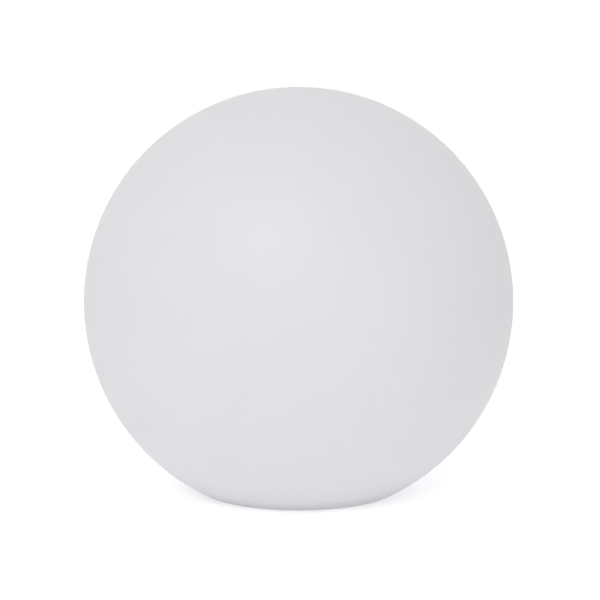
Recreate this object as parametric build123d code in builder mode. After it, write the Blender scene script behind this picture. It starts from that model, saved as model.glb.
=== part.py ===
"""Cordless garden globe light: a rotomoulded globe with a sealed, rechargeable light unit in its base.

Millimetres, +Z up. The origin is the centre of the flat base, on the ground. The globe's own pieces stay put.
The light unit hangs in the neck ring by a four-start locking ring, which draws it up against a seal, and it
comes down out of the base as the ring turns. Radii are worked out from the battery outwards, and heights from
the recess under the base and from the light unit's own stack.
"""

from build123d import *
from math import cos, hypot, radians, sin, sqrt, tan
import os

os.makedirs("parts", exist_ok=True)

# ---------------------------------------------------------------- driving dimensions

# Globe
globe_radius = 150.0
globe_wall = 3.0
base_land = 6.4  # ring that the globe stands on, from the recess to where the globe's curve meets the ground
base_edge = 6.0  # rounding between the globe and its base
recess_depth = 9.0  # hollow under the base, for the two rings
recess_edge = 1.5  # rounding at the recess's mouth
recess_corner = 2.0  # rounding between the recess's wall and ceiling
boss_wall = 1.7  # plastic round an insert
boss_cap = 3.0  # plastic over an insert
boss_margin = 0.4  # from a boss to the opening's edge

# Clearances
slip = 0.3  # between pieces that slide or turn
thread_slip = 0.4  # radial, between thread ridges and the wall they face
hole_slip = 0.5  # radial, round a shank in a through hole
pilot_slip = 0.1  # radial, round a shank in its own hole
lay = 0.1  # between faces that lie against each other

# Neck ring and locking ring
neck_screw_count = 6
neck_flange_thickness = 2.4
neck_wall = 3.1
neck_gasket_thickness = 0.8
head_room = 0.8  # from a neck screw's head to the recess's wall
shoulder_thickness = 2.5
shoulder_width = 2.6
thread_room = 14.7  # from the neck flange's underside up to its shoulder
thread_starts = 4
thread_pitch = 6.0
ridge_span = 76.0  # degrees that each ridge covers
ridge_height = 1.4
ridge_root = 2.6  # thickness of a ridge at its wall
ridge_crest = 1.4  # thickness of a ridge at its tip
ridge_bury = 0.5  # how deep a ridge's root runs into its wall
ridge_low = 1.8  # from the neck flange's underside to the middle of a ridge's low end
lock_wall = 2.6
lock_rim_thickness = 2.8
lock_rim_width = 4.7  # how far the rim stands out from the locking ring's tube
scallop_count = 20
scallop_radius = 2.4
scallop_depth = 1.2
soft_edge = 0.4  # small chamfers on moulded edges

# Light unit's housing
housing_wall = 2.4
housing_room = 1.4  # from the battery tray's corners to the housing's wall
unit_flange_thickness = 2.2
unit_seal_thickness = 0.8
unit_seal_inset = 0.2
spigot_wall = 1.6
spigot_height = 6.5
column_radius = 3.9
column_spread = 22.0  # degrees from the Y axis to a column
rib_width = 2.4
rib_bury = 0.5  # how far ribs and bosses run into a wall
cover_screw_count = 4
cover_boss_radius = 3.8
cover_boss_height = 9.5

# Bottom cover
cover_inset = 0.3  # from the locking ring's rim up to the cover's face
cover_rim_thickness = 1.2
cover_rim_overhang = 1.4  # how far the cover's rim reaches under the locking ring
cover_floor_thickness = 2.5
cover_seal_thickness = 0.7
cover_skirt_wall = 1.8
cover_skirt_height = 3.0

# Power button and its switch
button_radius = 7.0
button_proud = 0.6
button_travel = 0.8
button_dish = 0.5
button_lip = 1.4  # flat round the dish
button_flange_width = 1.4
button_flange_thickness = 0.8
button_stem_radius = 2.2
collar_wall = 1.4
collar_height = 2.2
plunger_radius = 1.6
plunger_length = 2.2
switch_width = 6.2
switch_height = 3.0

# Charging port and its flap
port_y = 22.0
port_recess_width = 18.0
port_recess_length = 11.0
port_recess_depth = 1.4
port_recess_corner = 2.6
socket_width = 8.94
socket_depth = 3.26
socket_wall = 0.3
socket_height = 6.7
socket_inset = 0.6  # from the flap's recess to the socket's mouth
tongue_width = 6.7
tongue_thickness = 0.7
tongue_inset = 1.1
flap_lip_height = 0.5
strap_width = 5.4
strap_length = 5.6  # from the flap's recess to the middle of the anchor
hinge_gap = 0.4  # from the recess's edge to the hinge, and from there to the strap
anchor_radius = 3.2
anchor_stud_radius = 1.6
anchor_bulb_radius = 2.3
anchor_bulb_height = 1.2
nail_notch_radius = 4.0
nail_notch_depth = 1.0

# Charge light
charge_light_y = -20.0
light_pipe_radius = 1.5
light_pipe_collar = 0.9
charge_led_width = 3.0
charge_led_height = 0.9

# Control board
board_thickness = 1.6
board_margin = 2.0  # from the board's edge to the cover's bosses
board_post_radius = 3.0
board_post_inset = 4.0  # from the board's edge to the middle of a post
board_post_turn = 39.3  # degrees from the X axis to a post
tallest_part = 2.4
part_slip = 0.9  # from the tallest part on the board up to the battery tray
board_chips = {  # x, y, width, depth and height of each part on the board's upper face
    "controller": (1.0, 3.0, 7.0, 7.0, 1.0),
    "charger": (13.5, 8.0, 5.0, 4.0, 1.2),
    "coil": (-12.5, 9.0, 6.0, 6.0, tallest_part),
    "driver": (-4.0, -11.0, 5.0, 4.0, 1.2),
    "store": (8.0, -12.0, 3.5, 2.8, 1.9),
    "filter": (-13.0, -6.0, 3.5, 2.8, 1.9),
    "crystal": (-7.0, 0.0, 3.2, 2.5, 0.9),
}
lead_pitch = 1.5
lead_count = 5
battery_lead_pitch = 2.0
connector_wall = 2.0
connector_depth = 4.5
connector_height = 5.2
connector_gap = 1.5
connector_margin = 3.9  # from the battery tray to the connectors

# Battery
cell_radius = 9.2
cell_length = 65.0
cell_gap = 0.4
cell_button_radius = 3.0
cell_button_height = 1.2
cell_groove = 0.5
cell_groove_width = 1.0
cell_groove_place = 4.0  # from the cell's positive end
tab_width = 7.0
tab_thickness = 0.2
tray_floor = 2.0
tray_wall = 1.3
tray_wall_height = 9.0
tray_wall_gap = 9.0
tray_rib = 2.0
tray_rib_height = 6.5
tray_rib_spacing = 36.0
ear_width = 7.0
pad_thickness = 4.0  # foam between the cells and the heat plate
pad_length = 46.0
pad_width = 28.0

# Heat plate and light board
plate_thickness = 1.5
led_board_thickness = 1.6
led_board_margin = 1.3  # from the heat plate's screws to the board's edge
led_board_screw_count = 3
led_board_screw_inset = 4.0
lead_slot_inset = 4.5
lead_slot_width = 9.0
lead_slot_depth = 3.6
colour_led_count = 12
colour_led_inset = 9.5
colour_led_width = 5.0
colour_led_height = 1.6
white_led_count = 6
white_led_circle = 13.0
white_led_width = 3.5
white_led_height = 1.2
led_window = 0.2  # depth of the window in each light's face
led_window_share = 0.8  # of the light's width
receiver_width = 5.6
receiver_depth = 4.0
receiver_height = 4.8
receiver_lens = 1.8

# Dome over the lights
dome_wall = 1.6
dome_rise = 26.0  # from the top of the skirt to the crown
dome_skirt_over = 1.6  # skirt above the housing's top edge
dome_edge = 5.0
dome_seal_thickness = 0.8

# Screws and inserts
neck_screw = {"head": 4.0, "head_height": 2.6, "shank": 2.0, "length": 9.8}
case_screw = {"head": 2.7, "head_height": 1.8, "shank": 1.4, "length": 8.0}
board_screw = {"head": 2.2, "head_height": 1.5, "shank": 1.1, "length": 5.5}
head_crown = 0.6  # share of a pan head's radius that its flat top takes
head_brim = 0.45  # share of a pan head's height that stands straight
cross_width = 0.7
cross_depth = 1.0
insert_radius = 3.0
insert_length = 8.0
insert_groove = 0.5

# Leads
battery_lead_radius = 0.7
led_lead_radius = 0.6
lead_bend = 0.45  # share of the shorter run that a bend takes
lead_hook = 2.4  # how high the light board's leads stand over it
lead_landing = 3.6  # from the lead slot to where the leads meet the board
slot_lead_run = 7.1  # straight part of each of those leads below the heat plate
led_lead_run = 4.5  # straight part of each of them over its connector
tab_lead_height = 2.6  # over the cells' axis, where the battery's leads leave their tabs
lead_wall_gap = 1.4  # from the housing's wall to the middle of a lead that follows it
lead_wall_steps = [  # degrees from the X axis, and height over the cells' axis, where those leads follow it
    (19.0, 2.4),
    (35.0, 0.6),
]
positive_lead_run = 6.0  # straight part of the positive lead over its connector
positive_lead_steps = [  # x, gap from the battery tray, and height over the cells' axis, on the way there
    (20.0, 5.7, -2.4),
]
negative_lead_run = 4.5
negative_lead_steps = [
    (-20.0, 4.7, -2.4),
    (-7.0, 2.2, -3.4),
    (2.0, 2.7, -3.9),
]

# ---------------------------------------------------------------- radii, from the battery outwards

cell_y = cell_radius + cell_gap / 2
cell_half = cell_length / 2
tray_inner_x = cell_half + cell_button_height + tab_thickness + 2 * lay
tray_half_x = tray_inner_x + tray_wall
tray_half_y = cell_y + cell_radius + 2 * lay

housing_bore = hypot(tray_half_x, tray_half_y) + housing_room
housing_skirt = housing_bore + housing_wall
lock_bore = housing_skirt + slip
lock_tube = lock_bore + lock_wall
neck_crest = lock_tube + thread_slip  # tips of the neck ring's ridges
neck_bore = neck_crest + ridge_height
neck_tube = neck_bore + neck_wall
mouth_radius = neck_tube + slip  # opening in the globe
boss_radius = insert_radius + lay + boss_wall
screw_circle = mouth_radius + boss_margin + boss_radius
recess_radius = screw_circle + neck_screw["head"] + head_room
base_radius = recess_radius + base_land
base_drop = sqrt(globe_radius**2 - base_radius**2)  # from the globe's centre down to the ground
neck_flange = recess_radius - 2 * slip
lock_rim = lock_tube + lock_rim_width
shoulder_bore = neck_crest - shoulder_width
unit_flange = neck_crest - thread_slip
housing_waist = shoulder_bore - thread_slip
cover_rim = lock_bore + cover_rim_overhang
cover_plug = housing_bore - slip
dome_spigot = housing_waist - dome_wall - lay
spigot_bore = dome_spigot - spigot_wall
plate_radius = spigot_bore - slip
column_circle = plate_radius - case_screw["head"] - slip
cover_screw_circle = housing_bore - cover_boss_radius + rib_bury
board_radius = cover_screw_circle - cover_boss_radius - board_margin
board_post_circle = board_radius - board_post_inset
board_post_spacing_x = 2 * board_post_circle * cos(radians(board_post_turn))
board_post_spacing_y = 2 * board_post_circle * sin(radians(board_post_turn))
led_board_radius = column_circle - case_screw["head"] - led_board_margin
led_board_screw_circle = led_board_radius - led_board_screw_inset
colour_led_circle = led_board_radius - colour_led_inset
button_flange = button_radius + button_flange_width
collar_bore = button_flange + slip

# ---------------------------------------------------------------- heights, from the ground up

neck_flange_top = recess_depth - neck_gasket_thickness
neck_flange_bottom = neck_flange_top - neck_flange_thickness
shoulder_bottom = neck_flange_bottom + thread_room
neck_top = shoulder_bottom + shoulder_thickness
lock_rim_top = neck_flange_bottom - slip
lock_rim_bottom = lock_rim_top - lock_rim_thickness
unit_seal_top = shoulder_bottom - lay
unit_flange_top = unit_seal_top - unit_seal_thickness
unit_flange_bottom = unit_flange_top - unit_flange_thickness
lock_top = unit_flange_bottom - lay

cover_face = lock_rim_bottom + cover_inset
cover_rim_top = cover_face + cover_rim_thickness
cover_floor_top = cover_face + cover_floor_thickness
housing_bottom = cover_rim_top + cover_seal_thickness
port_recess_top = cover_face + port_recess_depth
flap_top = port_recess_top - lay
socket_mouth = port_recess_top + socket_inset
board_bottom = socket_mouth + socket_height
board_top = board_bottom + board_thickness
connector_top = board_top + connector_height
button_flange_bottom = cover_floor_top + lay
button_flange_top = button_flange_bottom + button_flange_thickness
switch_bottom = board_bottom - switch_height
plunger_bottom = switch_bottom - button_travel - lay
plunger_top = plunger_bottom + plunger_length
tray_bottom = board_top + tallest_part + part_slip
tray_top = tray_bottom + tray_floor
cell_axis = tray_top + lay + cell_radius
plate_bottom = cell_axis + cell_radius + pad_thickness
plate_top = plate_bottom + plate_thickness
led_board_top = plate_top + led_board_thickness
housing_top = led_board_top
dome_seat = housing_top - spigot_height
dome_low = dome_seat + dome_seal_thickness
dome_spring = housing_top + dome_skirt_over
dome_crown = dome_spring + dome_rise

# ---------------------------------------------------------------- places

neck_screw_turn = 180 / neck_screw_count
cover_screw_turn = 180 / cover_screw_count
thread_lead = thread_starts * thread_pitch
ridge_rise = thread_lead * ridge_span / 360
flank_slope = (ridge_root - ridge_crest) / 2 / ridge_height
ridge_reach = ridge_height - thread_slip  # radial stretch in which both rings' ridges lie
ridge_stack = ridge_crest + flank_slope * ridge_reach  # both ridges' half thicknesses there, added up
neck_ridge_start = neck_flange_bottom + ridge_low
lock_ridge_start = neck_ridge_start + ridge_stack + slip

hinge_y = port_y + port_recess_length / 2 + hinge_gap
strap_start = hinge_y + hinge_gap
anchor_y = port_y + port_recess_length / 2 + strap_length
column_angles = [90 - column_spread, 90 + column_spread, 270 - column_spread, 270 + column_spread]
column_spots = [(column_circle * cos(radians(a)), column_circle * sin(radians(a))) for a in column_angles]
lead_slot_y = lead_slot_inset - led_board_radius
led_connector_width = (lead_count - 1) * lead_pitch + 2 * connector_wall
battery_connector_width = battery_lead_pitch + 2 * connector_wall
connectors_width = led_connector_width + connector_gap + battery_connector_width
led_connector_x = (led_connector_width - connectors_width) / 2
battery_connector_x = (connectors_width - battery_connector_width) / 2
connector_y = -(tray_half_y + connector_margin + connector_depth / 2)


def level(height):
    """The level plane at this height above the ground."""
    return Plane.XY.offset(height)


def ring(outer, inner, low, high):
    """A plain upright ring between two heights."""
    with BuildPart() as body:
        with BuildSketch(level(low)):
            Circle(outer)
            Circle(inner, mode=Mode.SUBTRACT)
        extrude(amount=high - low)
    return body.part


def turned_screw(profile, drive_height, drive_width):
    """A screw turned from its half profile, with a cross recess in its head."""
    with BuildPart() as screw:
        with BuildSketch(Plane.XZ):
            with BuildLine():
                Polyline(*profile, close=True)
            make_face()
        revolve(axis=Axis.Z)
        with BuildSketch(level(drive_height)):
            Rectangle(drive_width, cross_width)
            Rectangle(cross_width, drive_width)
        extrude(amount=cross_depth, mode=Mode.SUBTRACT)
    return screw.part


def pan_screw(head, head_height, shank, length):
    """A pan screw with its seat on XY, its head below and its shank pointing up."""
    profile = [
        (0, -head_height),
        (head * head_crown, -head_height),
        (head, -head_height * head_brim),
        (head, 0),
        (shank, 0),
        (shank, length - shank),
        (0, length),
    ]
    return turned_screw(profile, -head_height, head)


def flat_screw(head, head_height, shank, length):
    """A countersunk screw with the flat of its head on XY and its shank pointing up."""
    profile = [(0, 0), (head, 0), (shank, head - shank), (shank, length - shank), (0, length)]
    return turned_screw(profile, 0, head)


def lead_tube(points, radius):
    """A lead along these points, its bends as large as its runs allow."""
    turns = []
    for before, here, after in zip(points, points[1:], points[2:]):
        arriving = Vector(*here) - Vector(*before)
        leaving = Vector(*after) - Vector(*here)
        shorter = min(arriving.length, leaving.length)
        turns.append(lead_bend * shorter / tan(radians(arriving.get_angle(leaving) / 2)))
    print("lead bends", [round(turn, 1) for turn in turns])
    with BuildPart() as tube:
        with BuildLine() as route:
            FilletPolyline(*points, radius=turns)
        with BuildSketch(Plane(origin=route.line @ 0, z_dir=route.line % 0)):
            Circle(radius)
        sweep(path=route.line)
    return tube.part


# ---------------------------------------------------------------- globe


def globe_outline(inset):
    """The globe's upright outline, drawn in by inset: a disc cut flat at the base, less the recess."""
    with BuildSketch(Plane.XZ) as outline:
        with Locations((0, base_drop)):
            Circle(globe_radius - inset)
        with Locations((0, inset)):
            Rectangle(2 * globe_radius, globe_radius, align=(Align.CENTER, Align.MAX), mode=Mode.SUBTRACT)
        fillet(outline.vertices().group_by(Axis.Y)[0], radius=base_edge - inset)
        with Locations((0, inset)):
            Rectangle(
                2 * (recess_radius + inset), recess_depth, align=(Align.CENTER, Align.MIN), mode=Mode.SUBTRACT
            )
        ceiling = outline.vertices().filter_by_position(
            Axis.Y, recess_depth + inset - lay, recess_depth + inset + lay
        )
        fillet(ceiling, radius=recess_corner + inset)
    return outline.sketch


with BuildPart() as globe_shell:
    with BuildSketch(Plane.XZ):
        add(globe_outline(0))
        add(globe_outline(globe_wall), mode=Mode.SUBTRACT)
        Rectangle(2 * mouth_radius, 2 * (recess_depth + globe_wall), mode=Mode.SUBTRACT)
        split(bisect_by=Plane.YZ, keep=Keep.TOP)
    revolve(axis=Axis.Z)
    standing_edges = globe_shell.edges().filter_by(GeomType.CIRCLE).group_by(Axis.Z)[0]
    fillet(standing_edges.sort_by(SortBy.RADIUS)[0], radius=recess_edge)
    with BuildSketch(level(recess_depth + globe_wall / 2)):
        with PolarLocations(screw_circle, neck_screw_count, start_angle=neck_screw_turn):
            Circle(boss_radius)
    extrude(amount=insert_length + boss_cap - globe_wall / 2)
    with BuildSketch(level(recess_depth)):
        with PolarLocations(screw_circle, neck_screw_count, start_angle=neck_screw_turn):
            Circle(insert_radius + lay)
    extrude(amount=insert_length + lay, mode=Mode.SUBTRACT)
globe_shell.part.label = "globe_shell"
export_step(globe_shell.part, "parts/globe_shell.step")

with BuildPart() as insert:
    with BuildSketch(level(recess_depth)):
        Circle(insert_radius)
        Circle(neck_screw["shank"] + pilot_slip, mode=Mode.SUBTRACT)
    extrude(amount=insert_length)
    with BuildSketch(level(recess_depth + insert_length / 2)):
        Circle(insert_radius)
        Circle(insert_radius - insert_groove, mode=Mode.SUBTRACT)
    extrude(amount=insert_groove, both=True, mode=Mode.SUBTRACT)

with BuildPart() as shell_inserts:
    with PolarLocations(screw_circle, neck_screw_count, start_angle=neck_screw_turn):
        add(insert.part)
shell_inserts.part.label = "shell_inserts"
export_step(shell_inserts.part, "parts/shell_inserts.step")

with BuildPart() as neck_gasket:
    with BuildSketch(level(neck_flange_top)):
        Circle(recess_radius - recess_corner)
        Circle(mouth_radius, mode=Mode.SUBTRACT)
        with PolarLocations(screw_circle, neck_screw_count, start_angle=neck_screw_turn):
            Circle(neck_screw["shank"] + hole_slip, mode=Mode.SUBTRACT)
    extrude(amount=neck_gasket_thickness)
neck_gasket.part.label = "neck_gasket"
export_step(neck_gasket.part, "parts/neck_gasket.step")

# ---------------------------------------------------------------- neck ring and locking ring


def helical_ridge(wall_radius, start, outward):
    """One thread ridge on a round wall, climbing from a height. Outward is 1 for a ridge round the outside of
    the wall and -1 for one round its inside."""
    with BuildPart() as ridge:
        with BuildLine() as climb:
            Helix(pitch=thread_lead, height=ridge_rise, radius=wall_radius, center=(0, 0, start))
        with BuildSketch(Plane(origin=climb.line @ 0, x_dir=(1, 0, 0), z_dir=climb.line % 0)):
            with BuildLine():
                Polyline(
                    (-outward * ridge_bury, -ridge_root / 2),
                    (0, -ridge_root / 2),
                    (outward * ridge_height, -ridge_crest / 2),
                    (outward * ridge_height, ridge_crest / 2),
                    (0, ridge_root / 2),
                    (-outward * ridge_bury, ridge_root / 2),
                    close=True,
                )
            make_face()
        sweep(path=climb.line, is_frenet=True)
    return ridge.part


neck_ridge = helical_ridge(neck_bore, neck_ridge_start, -1)
lock_ridge = helical_ridge(lock_tube, lock_ridge_start, 1)

with BuildPart() as neck_ring:
    with BuildSketch(level(neck_flange_bottom)):
        Circle(neck_flange)
        Circle(neck_bore, mode=Mode.SUBTRACT)
        with PolarLocations(screw_circle, neck_screw_count, start_angle=neck_screw_turn):
            Circle(neck_screw["shank"] + hole_slip, mode=Mode.SUBTRACT)
    extrude(amount=neck_flange_thickness)
    chamfer(neck_ring.edges().group_by(SortBy.LENGTH)[-1].sort_by(Axis.Z)[-1], length=recess_corner / 2)
    add(ring(neck_tube, neck_bore, neck_flange_bottom, neck_top))
    add(ring(neck_tube, shoulder_bore, shoulder_bottom, neck_top))
    chamfer(neck_ring.edges().filter_by(GeomType.CIRCLE).group_by(Axis.Z)[-1], length=soft_edge)
    with PolarLocations(0, thread_starts):
        add(neck_ridge)
neck_ring.part.label = "neck_ring"
export_step(neck_ring.part, "parts/neck_ring.step")

neck_pan_screw = pan_screw(**neck_screw)
with BuildPart() as neck_screws:
    with Locations((0, 0, neck_flange_bottom)):
        with PolarLocations(screw_circle, neck_screw_count, start_angle=neck_screw_turn):
            add(neck_pan_screw)
neck_screws.part.label = "neck_screws"
export_step(neck_screws.part, "parts/neck_screws.step")

with BuildPart() as lock_ring:
    with BuildSketch(level(lock_rim_bottom)):
        Circle(lock_rim)
        Circle(lock_bore, mode=Mode.SUBTRACT)
        with PolarLocations(lock_rim + scallop_radius - scallop_depth, scallop_count):
            Circle(scallop_radius, mode=Mode.SUBTRACT)
    extrude(amount=lock_rim_thickness)
    chamfer(lock_ring.edges().group_by(Axis.Z)[0], length=soft_edge)
    add(ring(lock_tube, lock_bore, lock_rim_top - soft_edge, lock_top))
    with BuildSketch(level(lock_rim_bottom)):
        Circle(cover_rim + slip)
    extrude(amount=cover_rim_top + lay - lock_rim_bottom, mode=Mode.SUBTRACT)
    with PolarLocations(0, thread_starts):
        add(lock_ridge)
lock_ring.part.label = "lock_ring"
export_step(lock_ring.part, "parts/lock_ring.step")

# ---------------------------------------------------------------- light unit's housing and its seals

rib_length = housing_bore + rib_bury - column_circle

with BuildPart() as unit_housing:
    add(ring(housing_skirt, housing_bore, housing_bottom, unit_flange_bottom))
    add(ring(unit_flange, housing_bore, unit_flange_bottom, unit_flange_top))
    add(ring(housing_waist, housing_bore, unit_flange_top, dome_seat))
    add(ring(housing_waist, spigot_bore, dome_seat - spigot_wall, dome_seat))
    add(ring(dome_spigot, spigot_bore, dome_seat, housing_top))
    with BuildSketch(level(tray_top)):
        with Locations(*column_spots):
            Circle(column_radius)
        for angle in column_angles:
            with Locations(Location((0, 0, 0), (0, 0, angle))):
                with Locations((column_circle, 0)):
                    Rectangle(rib_length, rib_width, align=(Align.MIN, Align.CENTER))
    extrude(amount=plate_bottom - tray_top)
    with BuildSketch(level(cover_floor_top + lay)):
        with PolarLocations(cover_screw_circle, cover_screw_count, start_angle=cover_screw_turn):
            Circle(cover_boss_radius)
    extrude(amount=cover_boss_height)
    with Locations(*[(x, y, plate_bottom) for x, y in column_spots]):
        Hole(radius=case_screw["shank"] + pilot_slip, depth=case_screw["length"])
    with Locations(*[Location((x, y, tray_top), (180, 0, 0)) for x, y in column_spots]):
        Hole(radius=case_screw["shank"] + pilot_slip, depth=case_screw["length"])
    with Locations(Location((0, 0, cover_floor_top + lay), (180, 0, 0))):
        with PolarLocations(cover_screw_circle, cover_screw_count, start_angle=cover_screw_turn):
            Hole(radius=case_screw["shank"] + pilot_slip, depth=case_screw["length"])
unit_housing.part.label = "unit_housing"
export_step(unit_housing.part, "parts/unit_housing.step")

unit_seal = ring(unit_flange - unit_seal_inset, shoulder_bore + lay, unit_flange_top, unit_seal_top)
unit_seal.label = "unit_seal"
export_step(unit_seal, "parts/unit_seal.step")

cover_seal = ring(housing_skirt, housing_bore, cover_rim_top, housing_bottom)
cover_seal.label = "cover_seal"
export_step(cover_seal, "parts/cover_seal.step")

dome_seal = ring(housing_waist, dome_spigot + lay, dome_seat, dome_low)
dome_seal.label = "dome_seal"
export_step(dome_seal, "parts/dome_seal.step")


def dome_outline(inset):
    """The dome's upright outline, drawn in by inset: a straight skirt under a shallow cap."""
    cap_radius = (housing_waist**2 + dome_rise**2) / (2 * dome_rise)
    with BuildSketch(Plane.XZ) as outline:
        with Locations((0, dome_low)):
            Rectangle(2 * (housing_waist - inset), dome_crown - dome_low, align=(Align.CENTER, Align.MIN))
        with Locations((0, dome_crown - cap_radius)):
            Circle(cap_radius - inset, mode=Mode.INTERSECT)
        fillet(outline.vertices().group_by(Axis.Y)[-1], radius=dome_edge - inset)
    return outline.sketch


with BuildPart() as dome_cover:
    with BuildSketch(Plane.XZ):
        add(dome_outline(0))
        add(dome_outline(dome_wall), mode=Mode.SUBTRACT)
        split(bisect_by=Plane.YZ, keep=Keep.TOP)
    revolve(axis=Axis.Z)
dome_cover.part.label = "dome_cover"
export_step(dome_cover.part, "parts/dome_cover.step")

# ---------------------------------------------------------------- heat plate and light board

with BuildPart() as led_plate:
    with BuildSketch(level(plate_bottom)):
        Circle(plate_radius)
        with Locations(*column_spots):
            Circle(case_screw["shank"] + hole_slip, mode=Mode.SUBTRACT)
        with PolarLocations(led_board_screw_circle, led_board_screw_count, start_angle=90):
            Circle(board_screw["shank"] + pilot_slip, mode=Mode.SUBTRACT)
        with Locations((0, lead_slot_y)):
            SlotOverall(lead_slot_width, lead_slot_depth, mode=Mode.SUBTRACT)
    extrude(amount=plate_thickness)
led_plate.part.label = "led_plate"
export_step(led_plate.part, "parts/led_plate.step")

case_pan_screw = pan_screw(**case_screw)
with BuildPart() as plate_screws:
    with Locations(*[Location((x, y, plate_top), (180, 0, 0)) for x, y in column_spots]):
        add(case_pan_screw)
plate_screws.part.label = "plate_screws"
export_step(plate_screws.part, "parts/plate_screws.step")

with BuildPart() as led_board:
    with BuildSketch(level(plate_top)):
        Circle(led_board_radius)
        with PolarLocations(led_board_screw_circle, led_board_screw_count, start_angle=90):
            Circle(board_screw["shank"] + hole_slip, mode=Mode.SUBTRACT)
        with Locations((0, lead_slot_y)):
            SlotOverall(lead_slot_width, lead_slot_depth, mode=Mode.SUBTRACT)
    extrude(amount=led_board_thickness)
led_board.part.label = "led_board"
export_step(led_board.part, "parts/led_board.step")

board_pan_screw = pan_screw(**board_screw)
with BuildPart() as led_board_screws:
    with Locations(Location((0, 0, led_board_top), (180, 0, 0))):
        with PolarLocations(led_board_screw_circle, led_board_screw_count, start_angle=-90):
            add(board_pan_screw)
led_board_screws.part.label = "led_board_screws"
export_step(led_board_screws.part, "parts/led_board_screws.step")


def lamp(width, height):
    """A square light on the board, with a round window sunk into its face."""
    with BuildPart() as body:
        with BuildSketch(level(led_board_top)):
            Rectangle(width, width)
        extrude(amount=height)
        with BuildSketch(level(led_board_top + height)):
            Circle(width * led_window_share / 2)
        extrude(amount=-led_window, mode=Mode.SUBTRACT)
    return body.part


colour_lamp = lamp(colour_led_width, colour_led_height)
with BuildPart() as colour_leds:
    with PolarLocations(colour_led_circle, colour_led_count, start_angle=180 / colour_led_count):
        add(colour_lamp)
colour_leds.part.label = "colour_leds"
export_step(colour_leds.part, "parts/colour_leds.step")

white_lamp = lamp(white_led_width, white_led_height)
with BuildPart() as white_leds:
    with PolarLocations(white_led_circle, white_led_count):
        add(white_lamp)
white_leds.part.label = "white_leds"
export_step(white_leds.part, "parts/white_leds.step")

with BuildPart() as remote_receiver:
    with BuildSketch(level(led_board_top)):
        Rectangle(receiver_width, receiver_depth)
    extrude(amount=receiver_height)
    with Locations((0, 0, led_board_top + receiver_height)):
        Sphere(receiver_lens)
remote_receiver.part.label = "remote_receiver"
export_step(remote_receiver.part, "parts/remote_receiver.step")

# ---------------------------------------------------------------- battery

cell_spots = [(-cell_y, cell_axis), (cell_y, cell_axis)]

with BuildPart() as battery_cells:
    with BuildSketch(Plane.YZ.offset(-cell_half)):
        with Locations(*cell_spots):
            Circle(cell_radius)
    extrude(amount=cell_length)
    chamfer(battery_cells.edges().filter_by(GeomType.CIRCLE), length=soft_edge)
    with BuildSketch(Plane.YZ.offset(cell_half - cell_groove_place)):
        with Locations(*cell_spots):
            Circle(cell_radius)
            Circle(cell_radius - cell_groove, mode=Mode.SUBTRACT)
    extrude(amount=-cell_groove_width, mode=Mode.SUBTRACT)
    with BuildSketch(Plane.YZ.offset(cell_half)):
        with Locations(*cell_spots):
            Circle(cell_button_radius)
    extrude(amount=cell_button_height)
battery_cells.part.label = "battery_cells"
export_step(battery_cells.part, "parts/battery_cells.step")

with BuildPart() as battery_tabs:
    for tab_x in (cell_half + cell_button_height, -cell_half - tab_thickness):
        with BuildSketch(Plane.YZ.offset(tab_x)):
            with Locations((0, cell_axis)):
                Rectangle(2 * cell_y + tab_width, tab_width)
        extrude(amount=tab_thickness)
battery_tabs.part.label = "battery_tabs"
export_step(battery_tabs.part, "parts/battery_tabs.step")

with BuildPart() as battery_tray:
    with BuildSketch(level(tray_bottom)):
        Rectangle(2 * tray_half_x, 2 * tray_half_y)
        for ear_x, ear_y in column_spots:
            with Locations((ear_x, ear_y / 2)):
                Rectangle(ear_width, abs(ear_y))
            with Locations((ear_x, ear_y)):
                Circle(ear_width / 2)
                Circle(case_screw["shank"] + hole_slip, mode=Mode.SUBTRACT)
    extrude(amount=tray_floor)
    with BuildSketch(level(tray_top)):
        Rectangle(2 * tray_half_x, 2 * tray_half_y)
        Rectangle(2 * tray_inner_x, 2 * tray_half_y, mode=Mode.SUBTRACT)
        Rectangle(2 * tray_half_x, tray_wall_gap, mode=Mode.SUBTRACT)
    extrude(amount=tray_wall_height)
    for rib_x in (-tray_rib_spacing / 2, tray_rib_spacing / 2):
        with BuildSketch(Plane.YZ.offset(rib_x)):
            with Locations((0, tray_top)):
                Rectangle(2 * tray_half_y, tray_rib_height, align=(Align.CENTER, Align.MIN))
            with Locations(*cell_spots):
                Circle(cell_radius + lay / 2, mode=Mode.SUBTRACT)
        extrude(amount=tray_rib / 2, both=True)
battery_tray.part.label = "battery_tray"
export_step(battery_tray.part, "parts/battery_tray.step")

with BuildPart() as tray_screws:
    with Locations(*[(x, y, tray_bottom) for x, y in column_spots]):
        add(case_pan_screw)
tray_screws.part.label = "tray_screws"
export_step(tray_screws.part, "parts/tray_screws.step")

with BuildPart() as battery_pad:
    with BuildSketch(level(cell_axis + cell_radius + lay)):
        RectangleRounded(pad_length, pad_width, pad_thickness)
    extrude(amount=pad_thickness - 2 * lay)
battery_pad.part.label = "battery_pad"
export_step(battery_pad.part, "parts/battery_pad.step")

# ---------------------------------------------------------------- control board

with BuildPart() as control_board:
    with BuildSketch(level(board_bottom)):
        Circle(board_radius)
        with GridLocations(board_post_spacing_x, board_post_spacing_y, 2, 2):
            Circle(board_screw["shank"] + hole_slip, mode=Mode.SUBTRACT)
    extrude(amount=board_thickness)
control_board.part.label = "control_board"
export_step(control_board.part, "parts/control_board.step")

with BuildPart() as board_screws:
    with Locations(Location((0, 0, board_top), (180, 0, 0))):
        with GridLocations(board_post_spacing_x, board_post_spacing_y, 2, 2):
            add(board_pan_screw)
board_screws.part.label = "board_screws"
export_step(board_screws.part, "parts/board_screws.step")

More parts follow.
